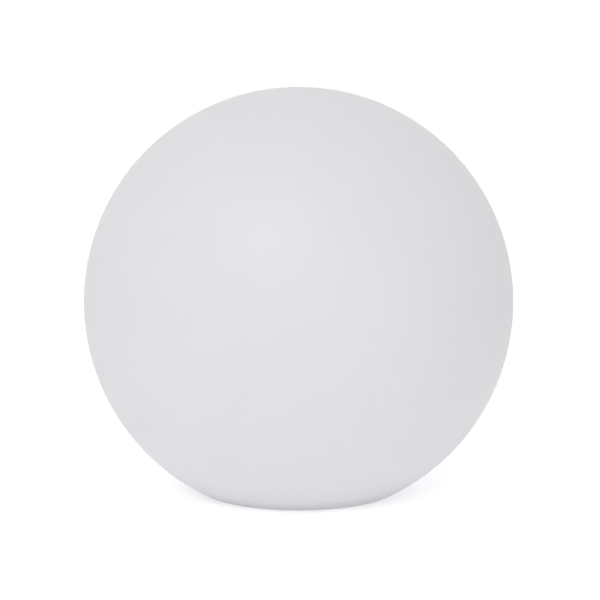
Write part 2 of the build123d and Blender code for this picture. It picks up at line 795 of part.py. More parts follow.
with BuildPart() as board_parts:
    for chip_x, chip_y, chip_width, chip_depth, chip_height in board_chips.values():
        with BuildSketch(level(board_top)):
            with Locations((chip_x, chip_y)):
                Rectangle(chip_width, chip_depth)
        extrude(amount=chip_height)
board_parts.part.label = "board_parts"
export_step(board_parts.part, "parts/board_parts.step")

with BuildPart() as lead_connectors:
    with BuildSketch(level(board_top)):
        with Locations((led_connector_x, connector_y)):
            Rectangle(led_connector_width, connector_depth)
        with Locations((battery_connector_x, connector_y)):
            Rectangle(battery_connector_width, connector_depth)
    extrude(amount=connector_height)
    chamfer(lead_connectors.edges().group_by(Axis.Z)[-1], length=soft_edge)
lead_connectors.part.label = "lead_connectors"
export_step(lead_connectors.part, "parts/lead_connectors.step")

with BuildPart() as switch_body:
    with BuildSketch(level(switch_bottom)):
        RectangleRounded(switch_width, switch_width, soft_edge)
    extrude(amount=switch_height)
    with BuildSketch(level(switch_bottom)):
        Circle(plunger_radius + slip)
    extrude(amount=plunger_top + button_travel + lay - switch_bottom, mode=Mode.SUBTRACT)
switch_body.part.label = "switch_body"
export_step(switch_body.part, "parts/switch_body.step")

with BuildPart() as charge_socket:
    with BuildSketch(level(socket_mouth)):
        with Locations((0, port_y)):
            SlotOverall(socket_width, socket_depth)
            SlotOverall(socket_width - 2 * socket_wall, socket_depth - 2 * socket_wall, mode=Mode.SUBTRACT)
    extrude(amount=socket_height)
charge_socket.part.label = "charge_socket"
export_step(charge_socket.part, "parts/charge_socket.step")

with BuildPart() as socket_tongue:
    with BuildSketch(level(socket_mouth + tongue_inset)):
        with Locations((0, port_y)):
            Rectangle(tongue_width, tongue_thickness)
    extrude(amount=socket_height - tongue_inset)
socket_tongue.part.label = "socket_tongue"
export_step(socket_tongue.part, "parts/socket_tongue.step")

with BuildPart() as charge_led:
    with BuildSketch(level(board_bottom - charge_led_height)):
        with Locations((0, charge_light_y)):
            Rectangle(charge_led_width, charge_led_width)
    extrude(amount=charge_led_height)
charge_led.part.label = "charge_led"
export_step(charge_led.part, "parts/charge_led.step")

with BuildPart() as light_pipe:
    with BuildSketch(level(cover_face)):
        with Locations((0, charge_light_y)):
            Circle(light_pipe_radius)
    extrude(amount=board_bottom - charge_led_height - lay - cover_face)
    with BuildSketch(level(cover_floor_top)):
        with Locations((0, charge_light_y)):
            Circle(light_pipe_radius + light_pipe_collar)
    extrude(amount=light_pipe_collar)
light_pipe.part.label = "light_pipe"
export_step(light_pipe.part, "parts/light_pipe.step")

# ---------------------------------------------------------------- bottom cover

with BuildPart() as bottom_cover:
    with BuildSketch(level(cover_face)):
        Circle(cover_rim)
    extrude(amount=cover_rim_thickness)
    chamfer(bottom_cover.edges().group_by(Axis.Z)[0], length=soft_edge)
    with BuildSketch(level(cover_face)):
        Circle(cover_plug)
    extrude(amount=cover_floor_thickness)
    with BuildSketch(level(cover_floor_top)):
        Circle(cover_plug)
        Circle(cover_plug - cover_skirt_wall, mode=Mode.SUBTRACT)
        with PolarLocations(cover_screw_circle, cover_screw_count, start_angle=cover_screw_turn):
            Circle(cover_boss_radius + slip, mode=Mode.SUBTRACT)
    extrude(amount=cover_skirt_height)
    with BuildSketch(level(cover_floor_top)):
        Circle(collar_bore + collar_wall)
    extrude(amount=collar_height)
    with BuildSketch(level(cover_floor_top)):
        Circle(collar_bore)
    extrude(amount=collar_height, mode=Mode.SUBTRACT)
    with BuildSketch(level(cover_floor_top)):
        with GridLocations(board_post_spacing_x, board_post_spacing_y, 2, 2):
            Circle(board_post_radius)
            Circle(board_screw["shank"] + pilot_slip, mode=Mode.SUBTRACT)
    extrude(amount=board_bottom - cover_floor_top)
    with BuildSketch(level(cover_face)):
        Circle(button_radius + slip)
        with Locations((0, port_y)):
            SlotOverall(socket_width + 2 * slip, socket_depth + 2 * slip)
        with Locations((0, anchor_y)):
            Circle(anchor_stud_radius + lay)
        with Locations((0, charge_light_y)):
            Circle(light_pipe_radius + lay)
    extrude(amount=cover_floor_thickness, mode=Mode.SUBTRACT)
    with BuildSketch(level(cover_face)):
        with Locations((0, port_y)):
            RectangleRounded(port_recess_width, port_recess_length, port_recess_corner)
        with Locations((0, port_y)):
            Rectangle(strap_width + 2 * slip, anchor_y - port_y, align=(Align.CENTER, Align.MIN))
        with Locations((0, anchor_y)):
            Circle(anchor_radius + slip)
    extrude(amount=port_recess_depth, mode=Mode.SUBTRACT)
    with BuildSketch(level(cover_face)):
        with Locations((0, port_y - port_recess_length / 2)):
            Circle(nail_notch_radius)
    extrude(amount=nail_notch_depth, mode=Mode.SUBTRACT)
    with Locations(Location((0, 0, cover_face), (180, 0, 0))):
        with PolarLocations(cover_screw_circle, cover_screw_count, start_angle=cover_screw_turn):
            CounterSinkHole(
                radius=case_screw["shank"] + hole_slip,
                counter_sink_radius=case_screw["head"] + hole_slip,
                depth=cover_floor_thickness,
                counter_sink_angle=90,
            )
bottom_cover.part.label = "bottom_cover"
export_step(bottom_cover.part, "parts/bottom_cover.step")

cover_flat_screw = flat_screw(**case_screw)
with BuildPart() as cover_screws:
    with Locations((0, 0, cover_face + lay)):
        with PolarLocations(cover_screw_circle, cover_screw_count, start_angle=cover_screw_turn):
            add(cover_flat_screw)
cover_screws.part.label = "cover_screws"
export_step(cover_screws.part, "parts/cover_screws.step")

with BuildPart() as flap_anchor:
    with BuildSketch(level(cover_face)):
        with Locations((0, strap_start)):
            Rectangle(strap_width, anchor_y - strap_start, align=(Align.CENTER, Align.MIN))
        with Locations((0, anchor_y)):
            Circle(anchor_radius)
    extrude(amount=flap_top - cover_face)
    with BuildSketch(level(flap_top)):
        with Locations((0, anchor_y)):
            Circle(anchor_stud_radius)
    extrude(amount=cover_floor_top + lay - flap_top)
    with BuildSketch(level(cover_floor_top + lay)):
        with Locations((0, anchor_y)):
            Circle(anchor_bulb_radius)
    extrude(amount=anchor_bulb_height, taper=20)
flap_anchor.part.label = "flap_anchor"
export_step(flap_anchor.part, "parts/flap_anchor.step")

# ---------------------------------------------------------------- charging port's flap and power button

with BuildPart() as port_flap:
    with BuildSketch(level(cover_face)):
        with Locations((0, port_y)):
            RectangleRounded(
                port_recess_width - 2 * slip, port_recess_length - 2 * slip, port_recess_corner - slip
            )
    extrude(amount=flap_top - cover_face)
    chamfer(port_flap.edges().group_by(Axis.Z)[0], length=soft_edge)
    with BuildSketch(level(flap_top)):
        with Locations((0, port_y)):
            SlotOverall(socket_width, socket_depth)
    extrude(amount=flap_lip_height)
port_flap.part.label = "port_flap"
export_step(port_flap.part, "parts/port_flap.step")

dish_reach = button_radius - button_lip
dish_radius = (dish_reach**2 + button_dish**2) / (2 * button_dish)

with BuildPart() as power_button:
    with BuildSketch(level(cover_face - button_proud)):
        Circle(button_radius)
    extrude(amount=button_flange_bottom - cover_face + button_proud)
    chamfer(power_button.edges().group_by(Axis.Z)[0], length=soft_edge)
    with BuildSketch(level(button_flange_bottom)):
        Circle(button_flange)
    extrude(amount=button_flange_thickness)
    with BuildSketch(level(button_flange_top)):
        Circle(button_stem_radius)
    extrude(amount=plunger_bottom - button_flange_top)
    with Locations((0, 0, cover_face - button_proud + button_dish - dish_radius)):
        Sphere(dish_radius, mode=Mode.SUBTRACT)
power_button.part.label = "power_button"
export_step(power_button.part, "parts/power_button.step")

with BuildPart() as switch_plunger:
    with BuildSketch(level(plunger_bottom)):
        Circle(plunger_radius)
    extrude(amount=plunger_length)
switch_plunger.part.label = "switch_plunger"
export_step(switch_plunger.part, "parts/switch_plunger.step")

# ---------------------------------------------------------------- leads

positive_tab_x = cell_half + cell_button_height + tab_thickness + lay
negative_tab_x = -cell_half - tab_thickness - lay
positive_pin_x = battery_connector_x + battery_lead_pitch / 2
negative_pin_x = battery_connector_x - battery_lead_pitch / 2

lead_lane = (tray_half_x + housing_bore) / 2
lead_wall_circle = housing_bore - lead_wall_gap


def battery_route(side, tab_x, pin_x, steps, run):
    """Route of one of the battery's leads: out from its tab, along the housing's wall and over to its pin.
    Side is 1 where the tab is on +X and -1 where it is on -X."""
    reach = side * lead_wall_circle
    along_wall = [
        (reach * cos(radians(turn)), -lead_wall_circle * sin(radians(turn)), cell_axis + rise)
        for turn, rise in lead_wall_steps
    ]
    return [
        (tab_x, 0, cell_axis + tab_lead_height),
        (side * lead_lane, 0, cell_axis + tab_lead_height),
        *along_wall,
        *[(x, -tray_half_y - gap, cell_axis + rise) for x, gap, rise in steps],
        (pin_x, connector_y, connector_top + run),
        (pin_x, connector_y, connector_top),
    ]


positive_route = battery_route(1, positive_tab_x, positive_pin_x, positive_lead_steps, positive_lead_run)
negative_route = battery_route(-1, negative_tab_x, negative_pin_x, negative_lead_steps, negative_lead_run)
positive_lead = lead_tube(positive_route, battery_lead_radius)
negative_lead = lead_tube(negative_route, battery_lead_radius)
with BuildPart() as battery_leads:
    add(positive_lead)
    add(negative_lead)
battery_leads.part.label = "battery_leads"
export_step(battery_leads.part, "parts/battery_leads.step")


def led_route(place):
    """Route of one of the light board's leads, counted from the middle one: up from its pin, through the slot
    and over to the board."""
    pin_x = led_connector_x + place * lead_pitch
    slot_x = place * lead_pitch
    landing_y = lead_slot_y + lead_landing
    return [
        (pin_x, connector_y, connector_top),
        (pin_x, connector_y, connector_top + led_lead_run),
        (slot_x, lead_slot_y, plate_bottom - slot_lead_run),
        (slot_x, lead_slot_y, led_board_top + lead_hook),
        (slot_x, landing_y, led_board_top + lead_hook),
        (slot_x, landing_y, led_board_top),
    ]


lead_places = [i - (lead_count - 1) / 2 for i in range(lead_count)]
led_lead_parts = [lead_tube(led_route(place), led_lead_radius) for place in lead_places]
with BuildPart() as led_leads:
    for led_lead in led_lead_parts:
        add(led_lead)
led_leads.part.label = "led_leads"
export_step(led_leads.part, "parts/led_leads.step")
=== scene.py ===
import math
import bpy
import numpy as np
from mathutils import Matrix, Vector


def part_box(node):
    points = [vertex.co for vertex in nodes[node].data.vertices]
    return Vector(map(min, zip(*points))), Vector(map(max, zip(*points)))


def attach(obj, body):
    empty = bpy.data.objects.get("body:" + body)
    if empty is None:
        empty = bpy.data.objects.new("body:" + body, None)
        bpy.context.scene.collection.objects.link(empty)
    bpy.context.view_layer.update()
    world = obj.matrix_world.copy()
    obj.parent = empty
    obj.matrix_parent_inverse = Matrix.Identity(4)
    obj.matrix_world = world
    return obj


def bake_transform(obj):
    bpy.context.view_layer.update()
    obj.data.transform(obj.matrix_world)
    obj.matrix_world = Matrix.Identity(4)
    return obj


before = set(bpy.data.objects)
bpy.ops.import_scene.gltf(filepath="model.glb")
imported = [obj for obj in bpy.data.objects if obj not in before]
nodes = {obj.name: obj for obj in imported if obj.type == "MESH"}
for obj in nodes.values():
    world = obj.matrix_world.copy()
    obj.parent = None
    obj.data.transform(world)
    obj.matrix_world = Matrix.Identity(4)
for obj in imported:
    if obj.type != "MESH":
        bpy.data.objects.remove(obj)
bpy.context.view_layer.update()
collection = bpy.context.scene.collection
mm = 0.001

for leftOver in ("Cube", "Light", "Camera"):
    if leftOver in bpy.data.objects:
        bpy.data.objects.remove(bpy.data.objects[leftOver])


def lowest(nodeName, axis=2):
    # Where a CAD node begins along an axis, in millimetres. Axis 2 is height.
    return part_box(nodeName)[0][axis] / mm


def highest(nodeName, axis=2):
    # Where it ends along that axis.
    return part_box(nodeName)[1][axis] / mm


def middle(nodeName, axis=2):
    # Halfway between the two.
    return (lowest(nodeName, axis) + highest(nodeName, axis)) / 2


# Every new shape below is a grid of points, worked out as one array, in millimetres. A surface is a pair: its
# points and its faces.
tip = 0.05  # radius at which a turned profile meets its pole


def gridSurface(grid, startPole=None, endPole=None):
    # Quads join each point to its neighbours in the next row and column, and the last column to the first.
    # A pole closes an end row with a fan of triangles.
    rows, columns = grid.shape[:2]
    i = np.arange(rows - 1)[:, None]
    j = np.arange(columns)[None, :]
    nextJ = (j + 1) % columns
    quads = [i * columns + j, (i + 1) * columns + j, (i + 1) * columns + nextJ, i * columns + nextJ]
    faces = np.stack(quads, -1).reshape(-1, 4).tolist()
    points = grid.reshape(-1, 3)
    around = np.arange(columns)
    for pole, row, flip in ((startPole, 0, False), (endPole, rows - 1, True)):
        if pole is None:
            continue
        edge = [row * columns + around, row * columns + (around + 1) % columns]
        fan = np.stack([np.full_like(around, len(points)), *(reversed(edge) if flip else edge)], -1)
        faces += fan.tolist()
        points = np.vstack([points, pole])
    return points, faces


def joined(surfaces):
    # One surface of several: points end to end, face numbers moved on by the points before them.
    points, faces, count = [], [], 0
    for somePoints, someFaces in surfaces:
        points.append(somePoints)
        faces += [[corner + count for corner in face] for face in someFaces]
        count += len(somePoints)
    return np.vstack(points), faces


def repeated(surface, spots):
    # A copy at each spot (x, y, z): every point of the shape added to every spot.
    points, faces = surface
    spots = np.asarray(spots, float)
    allPoints = (spots[:, None] + points[None]).reshape(-1, 3)
    starts = (np.arange(len(spots)) * len(points)).tolist()
    return allPoints, [[corner + start for corner in face] for start in starts for face in faces]


def turned(profile, count):
    # Radius and height pairs carried round the Z axis: (r cos a, r sin a, z).
    profile = np.asarray(profile, float)
    a = np.linspace(0, 2 * np.pi, count, endpoint=False)[None, :]
    r, z = profile[:, :1], profile[:, 1:]
    grid = np.stack([r * np.cos(a), r * np.sin(a), z + 0 * a], -1)
    return gridSurface(grid, startPole=[0, 0, profile[0, 1]], endPole=[0, 0, profile[-1, 1]])


def block(low, high):
    # A box between two corners: its four upright edges, closed by a quad at each end.
    (x0, y0, z0), (x1, y1, z1) = low, high
    ring = np.array([[x0, y0], [x1, y0], [x1, y1], [x0, y1]], float)
    points = np.vstack([np.c_[ring, np.full(4, z0)], np.c_[ring, np.full(4, z1)]])
    return points, [[3, 2, 1, 0], [4, 5, 6, 7], [0, 1, 5, 4], [1, 2, 6, 5], [2, 3, 7, 6], [3, 0, 4, 7]]


def flat(height):
    # The same height for every point of a line.
    return lambda line: np.full(len(line), float(height))


def strip(left, right, low, high):
    # A bar between two side lines with the same number of points: at each station the four corners
    # (left low, right low, right high, left high). Low and high give a height for each point of a line.
    left, right = np.asarray(left, float), np.asarray(right, float)
    corners = [(left, low), (right, low), (right, high), (left, high)]
    grid = np.stack([np.c_[line, height(line)] for line, height in corners], 1)
    points, faces = gridSurface(grid)
    last = len(points) - 4
    return points, faces + [[0, 1, 2, 3], [last + 3, last + 2, last + 1, last]]


def arc(centre, radius, start, end, count):
    # Points on a circle between two angles in degrees.
    a = np.radians(np.linspace(start, end, count))
    return np.stack([centre[0] + radius * np.cos(a), centre[1] + radius * np.sin(a)], 1)


def ringSpots(radius, count, start, height):
    # Spots at equal angles on a level circle, from a first angle in degrees.
    a = np.radians(start + 360 / count * np.arange(count))
    return np.stack([radius * np.cos(a), radius * np.sin(a), np.full(count, height)], 1)


def onRing(surface, radius, angle):
    # A mark drawn about the origin, u to the reader's right and v outwards, is set on a ring to be read
    # from below.
    points, faces = surface
    a = math.radians(angle)
    u, v = -points[:, 0], points[:, 1] + radius
    out, along = np.array([math.cos(a), math.sin(a)]), np.array([-math.sin(a), math.cos(a)])
    level = v[:, None] * out + u[:, None] * along
    return np.c_[level, points[:, 2]], faces


def makePiece(name, surface, finish, body=None, smooth=40):
    # A mesh object at the origin that rides on a body. Its faces are turned outwards, and it is smoothed
    # where they meet at less than an angle in degrees.
    points, faces = surface
    mesh = bpy.data.meshes.new(name)
    mesh.from_pydata((np.asarray(points) * mm).tolist(), [], faces)
    mesh.update()
    piece = bpy.data.objects.new(name, mesh)
    collection.objects.link(piece)
    bpy.context.view_layer.objects.active = piece
    piece.select_set(True)
    bpy.ops.object.mode_set(mode="EDIT")
    bpy.ops.mesh.select_all(action="SELECT")
    bpy.ops.mesh.normals_make_consistent(inside=False)
    bpy.ops.object.mode_set(mode="OBJECT")
    mesh.shade_smooth()
    mesh.set_sharp_from_angle(angle=math.radians(smooth))
    piece.select_set(False)
    mesh.materials.append(finish)
    if body:
        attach(piece, body)
    return piece


# Finishes.
def newFinish(name):
    # A material with its node tree and its shader.
    material = bpy.data.materials.new(name)
    material.use_nodes = True
    return material, material.node_tree, material.node_tree.nodes["Principled BSDF"]


def addNode(tree, kind, inputs=None, **settings):
    # A node with its settings, its sockets set to a value or joined to another node's output.
    made = tree.nodes.new("ShaderNode" + kind)
    for key, value in settings.items():
        setattr(made, key, value)
    for key, value in (inputs or {}).items():
        if isinstance(value, bpy.types.NodeSocket):
            tree.links.new(value, made.inputs[key])
        else:
            made.inputs[key].default_value = value
    return made


def place(tree):
    # A point's x, y and z on the object's own coordinates.
    return addNode(tree, "SeparateXYZ", {0: addNode(tree, "TexCoord").outputs["Object"]}).outputs


def noise(tree, scale, detail=3.0, stretch=None):
    # Noise on the object's own coordinates, drawn out along an axis where stretch says so.
    where = addNode(tree, "TexCoord").outputs["Object"]
    if stretch:
        where = addNode(tree, "Mapping", {"Vector": where, "Scale": stretch}).outputs[0]
    return addNode(tree, "TexNoise", {"Vector": where, "Scale": scale, "Detail": detail}).outputs["Fac"]


def ramp(tree, factor, stops, constant=False):
    # A colour for each place on the ramp, blended between them or held up to the next.
    made = addNode(tree, "ValToRGB", {"Fac": factor})
    scale = made.color_ramp
    scale.interpolation = "CONSTANT" if constant else "LINEAR"
    while len(scale.elements) < len(stops):
        scale.elements.new(0.5)
    for element, (position, colour) in zip(scale.elements, stops):
        element.position = position
        element.color = (*colour, 1)
    return made.outputs["Color"]


def spread(tree, factor, low, high):
    # From 0 to 1 stretched to from low to high.
    return addNode(tree, "MapRange", {"Value": factor, "To Min": low, "To Max": high}).outputs["Result"]


def maths(tree, operation, first, second=0.0):
    # One sum on two numbers or outputs.
    return addNode(tree, "Math", {0: first, 1: second}, operation=operation).outputs[0]


def distance(tree, first, second):
    # The square root of the sum of both squares.
    squares = maths(tree, "ADD", maths(tree, "POWER", first, 2.0), maths(tree, "POWER", second, 2.0))
    return maths(tree, "SQRT", squares)


plainLook = {  # what a look has unless it says otherwise
    "cloud": 0.03,  # share by which the colour varies
    "cloudScale": 30.0,
    "cloudStops": (0.3, 0.7),
    "patchScale": 90.0,  # patches of roughness
    "patchDetail": 4.0,
    "grain": 0.2,  # strength of the fine bump
    "grainScale": 1400.0,
    "grainDetail": 2.0,
    "grainHeight": 0.05,
    "stretch": None,
    "fixed": {},  # sockets set to one value
}


def basicFinish(name, look):
    # Colour clouded by a broad noise, roughness by a middling one, and a fine grain raised as a bump.
    look = {**plainLook, **look}
    material, tree, shader = newFinish(name)
    colour = np.array(look["colour"])
    shades = colour * (1 - look["cloud"]), np.minimum(colour * (1 + look["cloud"]), 1)
    shade = ramp(tree, noise(tree, look["cloudScale"]), list(zip(look["cloudStops"], shades)))
    tree.links.new(shade, shader.inputs["Base Color"])
    patches = noise(tree, look["patchScale"], look["patchDetail"], look["stretch"])
    tree.links.new(spread(tree, patches, *look["roughness"]), shader.inputs["Roughness"])
    bumpInputs = {
        "Height": noise(tree, look["grainScale"], look["grainDetail"], look["stretch"]),
        "Strength": look["grain"],
        "Distance": look["grainHeight"] * mm,
    }
    tree.links.new(addNode(tree, "Bump", bumpInputs).outputs["Normal"], shader.inputs["Normal"])
    for socket, value in look["fixed"].items():
        shader.inputs[socket].default_value = value
    return material, tree, shader


def plainFinish(name, look):
    # The same, where nothing is added to its nodes.
    return basicFinish(name, look)[0]


shellLook = {
    "colour": (0.795, 0.788, 0.825),
    "cloud": 0.008,
    "cloudScale": 9.0,
    "roughness": (0.40, 0.47),
    "patchScale": 14.0,
    "grainScale": 1800.0,
    "grain": 0.10,
    "fixed": {
        "Subsurface Weight": 1.0,
        "Subsurface Radius": (1.0, 0.97, 0.95),
        "Subsurface Scale": 0.006,
        "Specular IOR Level": 0.28,
        "IOR": 1.51,
    },
}
paleLook = {"colour": (0.70, 0.70, 0.72), "roughness": (0.36, 0.46), "grain": 0.35, "grainScale": 1600.0}
midLook = {"colour": (0.36, 0.37, 0.39), "roughness": (0.38, 0.48), "grain": 0.35, "grainScale": 1600.0}
housingLook = {
    "colour": (0.80, 0.80, 0.81),
    "roughness": (0.34, 0.44),
    "fixed": {"Subsurface Weight": 0.15, "Subsurface Radius": (1.0, 0.98, 0.96), "Subsurface Scale": 0.001},
}
rubberLook = {"colour": (0.030, 0.031, 0.034), "cloud": 0.12, "roughness": (0.62, 0.75), "grain": 0.3}
softGreyLook = {"colour": (0.075, 0.078, 0.083), "cloud": 0.08, "roughness": (0.55, 0.68), "grain": 0.3}
foamLook = {"colour": (0.06, 0.06, 0.065), "roughness": (0.85, 0.95), "grainScale": 900.0, "grain": 1.0}
steelLook = {
    "colour": (0.60, 0.60, 0.61),
    "cloud": 0.05,
    "cloudScale": 500.0,
    "roughness": (0.22, 0.36),
    "patchScale": 700.0,
    "grain": 0.1,
    "fixed": {"Metallic": 1.0},
}
brassLook = dict(steelLook, colour=(0.70, 0.48, 0.20))
nickelLook = dict(steelLook, colour=(0.68, 0.67, 0.64), roughness=(0.18, 0.30))
goldLook = dict(steelLook, colour=(0.90, 0.66, 0.26), roughness=(0.16, 0.24))
solderLook = dict(steelLook, colour=(0.66, 0.67, 0.68), roughness=(0.14, 0.26))
plateLook = {
    "colour": (0.72, 0.73, 0.74),
    "roughness": (0.26, 0.42),
    "patchScale": 300.0,
    "grainScale": 700.0,
    "stretch": (1.0, 22.0, 1.0),  # brushed along x
    "grain": 0.25,
    "fixed": {"Metallic": 1.0},
}
blackLook = {"colour": (0.022, 0.022, 0.024), "roughness": (0.42, 0.55), "grain": 0.3}
trayLook = {"colour": (0.045, 0.045, 0.048), "roughness": (0.40, 0.52), "grain": 0.3}
nylonLook = {"colour": (0.72, 0.69, 0.60), "roughness": (0.34, 0.44), "grain": 0.15}
lampLook = {"colour": (0.84, 0.83, 0.79), "roughness": (0.24, 0.32), "grain": 0.05}
resinLook = {
    "colour": (0.86, 0.84, 0.70),
    "roughness": (0.06, 0.12),
    "grain": 0.02,
    "fixed": {"Transmission Weight": 0.35, "IOR": 1.5},
}
phosphorLook = {"colour": (0.86, 0.62, 0.10), "roughness": (0.20, 0.30), "grain": 0.1}
receiverLook = {"colour": (0.025, 0.012, 0.020), "roughness": (0.06, 0.12), "grain": 0.02}
domeLook = {
    "colour": (0.90, 0.90, 0.91),
    "roughness": (0.42, 0.52),
    "grain": 0.15,
    "fixed": {
        "Subsurface Weight": 0.5,
        "Subsurface Radius": (1.0, 1.0, 1.0),
        "Subsurface Scale": 0.004,
        "Transmission Weight": 0.25,
        "IOR": 1.49,
    },
}
clearLook = {
    "colour": (0.93, 0.95, 0.96),
    "roughness": (0.03, 0.08),
    "grain": 0.02,
    "fixed": {"Transmission Weight": 0.92, "IOR": 1.49},
}
markLook = {"colour": (0.055, 0.057, 0.062), "roughness": (0.50, 0.60), "grain": 0.1}
paleMarkLook = {"colour": (0.72, 0.72, 0.74), "roughness": (0.45, 0.55), "grain": 0.1}

whiteBoardLook = {
    "colour": (0.80, 0.80, 0.77),
    "tracks": (0.74, 0.74, 0.70),
    "roughness": (0.30, 0.38),
    "pitch": 3.4,
}
greenBoardLook = {
    "colour": (0.012, 0.13, 0.045),
    "tracks": (0.03, 0.24, 0.07),
    "roughness": (0.24, 0.34),
    "pitch": 2.1,
}
boardTracks = {"width": 0.22, "soft": 0.1, "length": 3.1, "bump": 0.5, "proud": 0.03}  # length in pitches


def boardFinish(name, look):
    # Solder mask over copper: a brick pattern's thin joints stand for the tracks and lie a little proud.
    material, tree, shader = basicFinish(name, look)
    brickInputs = {
        "Vector": addNode(tree, "TexCoord").outputs["Object"],
        "Scale": 1.0,
        "Mortar Size": boardTracks["width"] * mm,
        "Mortar Smooth": boardTracks["soft"],
        "Brick Width": look["pitch"] * boardTracks["length"] * mm,
        "Row Height": look["pitch"] * mm,
    }
    mask = addNode(tree, "TexBrick", brickInputs).outputs["Fac"]
    shade = ramp(tree, mask, [(0.0, look["colour"]), (1.0, look["tracks"])])
    tree.links.new(shade, shader.inputs["Base Color"])
    bumpInputs = {"Height": mask, "Strength": boardTracks["bump"], "Distance": boardTracks["proud"] * mm}
    tree.links.new(addNode(tree, "Bump", bumpInputs).outputs["Normal"], shader.inputs["Normal"])
    return material


cellLook = {
    "colour": (0.02, 0.09, 0.30),
    "steel": (0.62, 0.62, 0.63),
    "washer": (0.80, 0.79, 0.74),
    "roughness": (0.16, 0.26),
    "grain": 0.05,
}
cell = {
    "radius": 9.2,
    "rim": 8.1,
    "terminal": 3.4,
    "bare": 0.45,  # the end that the wrap leaves free
}
cell["axisY"] = highest("battery_cells", 1) - cell["radius"]
cell["axisZ"] = middle("battery_cells")
cell["wrapEnd"] = -lowest("battery_cells", 0) - cell["bare"]


def cellFinish(name, look, sizes):
    # Shrink wrap on the cells' sides and the rim of their ends, a pale washer round the raised terminal,
    # bare steel elsewhere: all told apart by x and by the distance from the cell's own axis.
    material, tree, shader = basicFinish(name, look)
    where = place(tree)
    fromAxisY = maths(tree, "SUBTRACT", maths(tree, "ABSOLUTE", where["Y"]), sizes["axisY"] * mm)
    fromAxisZ = maths(tree, "SUBTRACT", where["Z"], sizes["axisZ"] * mm)
    reach = distance(tree, fromAxisY, fromAxisZ)
    side = maths(tree, "LESS_THAN", maths(tree, "ABSOLUTE", where["X"]), sizes["wrapEnd"] * mm)
    rim = maths(tree, "GREATER_THAN", reach, sizes["rim"] * mm)
    wrap = maths(tree, "MAXIMUM", side, rim)
    raised = maths(tree, "GREATER_THAN", where["X"], sizes["wrapEnd"] * mm)
    outside = maths(tree, "GREATER_THAN", reach, sizes["terminal"] * mm)
    withinRim = maths(tree, "SUBTRACT", 1.0, rim)
    washer = maths(tree, "MULTIPLY", maths(tree, "MULTIPLY", raised, outside), withinRim)
    kind = maths(tree, "ADD", maths(tree, "MULTIPLY", wrap, 0.5), washer)  # steel 0, wrap 0.5, washer 1
    stops = [(0.0, look["steel"]), (0.25, look["colour"]), (0.75, look["washer"])]
    tree.links.new(ramp(tree, kind, stops, True), shader.inputs["Base Color"])
    tree.links.new(maths(tree, "LESS_THAN", kind, 0.25), shader.inputs["Metallic"])
    return material


leadLook = {"colour": (0.4, 0.02, 0.02), "roughness": (0.34, 0.44), "grain": 0.1}
batteryRow = {"colours": [(0.02, 0.02, 0.02), (0.45, 0.02, 0.02)], "pitch": 2.0, "middle": 5.75}
lampRow = {
    "colours": [
        (0.42, 0.02, 0.02),
        (0.02, 0.22, 0.05),
        (0.02, 0.06, 0.38),
        (0.62, 0.62, 0.60),
        (0.02, 0.02, 0.02),
    ],
    "pitch": 1.5,
    "middle": -3.75,  # at its connector
    "stepLow": 23.0,  # heights between which the row steps across to x = 0
    "stepHigh": 34.0,
}


def pairFinish(name, look, row):
    # Two leads, one on each side of the middle of their connector.
    material, tree, shader = basicFinish(name, look)
    beyond = maths(tree, "GREATER_THAN", place(tree)["X"], row["middle"] * mm)
    stops = list(zip((0.0, 0.5), row["colours"]))
    tree.links.new(ramp(tree, beyond, stops, True), shader.inputs["Base Color"])
    return material


def rowFinish(name, look, row):
    # One colour for each lead of a row: x is moved back by the row's sideways step, which it takes between
    # two heights, and the result in pitches picks the colour.
    material, tree, shader = basicFinish(name, look)
    where = place(tree)
    stepInputs = {
        "Value": where["Z"],
        "From Min": row["stepLow"] * mm,
        "From Max": row["stepHigh"] * mm,
        "To Min": row["middle"] * mm,
        "To Max": 0.0,
    }
    step = addNode(tree, "MapRange", stepInputs).outputs["Result"]
    count = len(row["colours"])
    share = maths(tree, "DIVIDE", maths(tree, "SUBTRACT", where["X"], step), row["pitch"] * count * mm)
    stops = [(k / count, colour) for k, colour in enumerate(row["colours"])]
    tree.links.new(ramp(tree, maths(tree, "ADD", share, 0.5), stops, True), shader.inputs["Base Color"])
    return material


paleFinish = plainFinish("palePlastic", paleLook)
rubberFinish = plainFinish("blackSeal", rubberLook)
softGreyFinish = plainFinish("greyRubber", softGreyLook)
steelFinish = plainFinish("zincedSteel", steelLook)
nickelFinish = plainFinish("nickelPlate", nickelLook)
solderFinish = plainFinish("solder", solderLook)
goldFinish = plainFinish("goldPlate", goldLook)
blackFinish = plainFinish("blackMoulding", blackLook)
lampFinish = plainFinish("lampBody", lampLook)
resinFinish = plainFinish("clearResin", resinLook)
phosphorFinish = plainFinish("phosphor", phosphorLook)
markFinish = plainFinish("darkMark", markLook)
paleMarkFinish = plainFinish("paleMark", paleMarkLook)

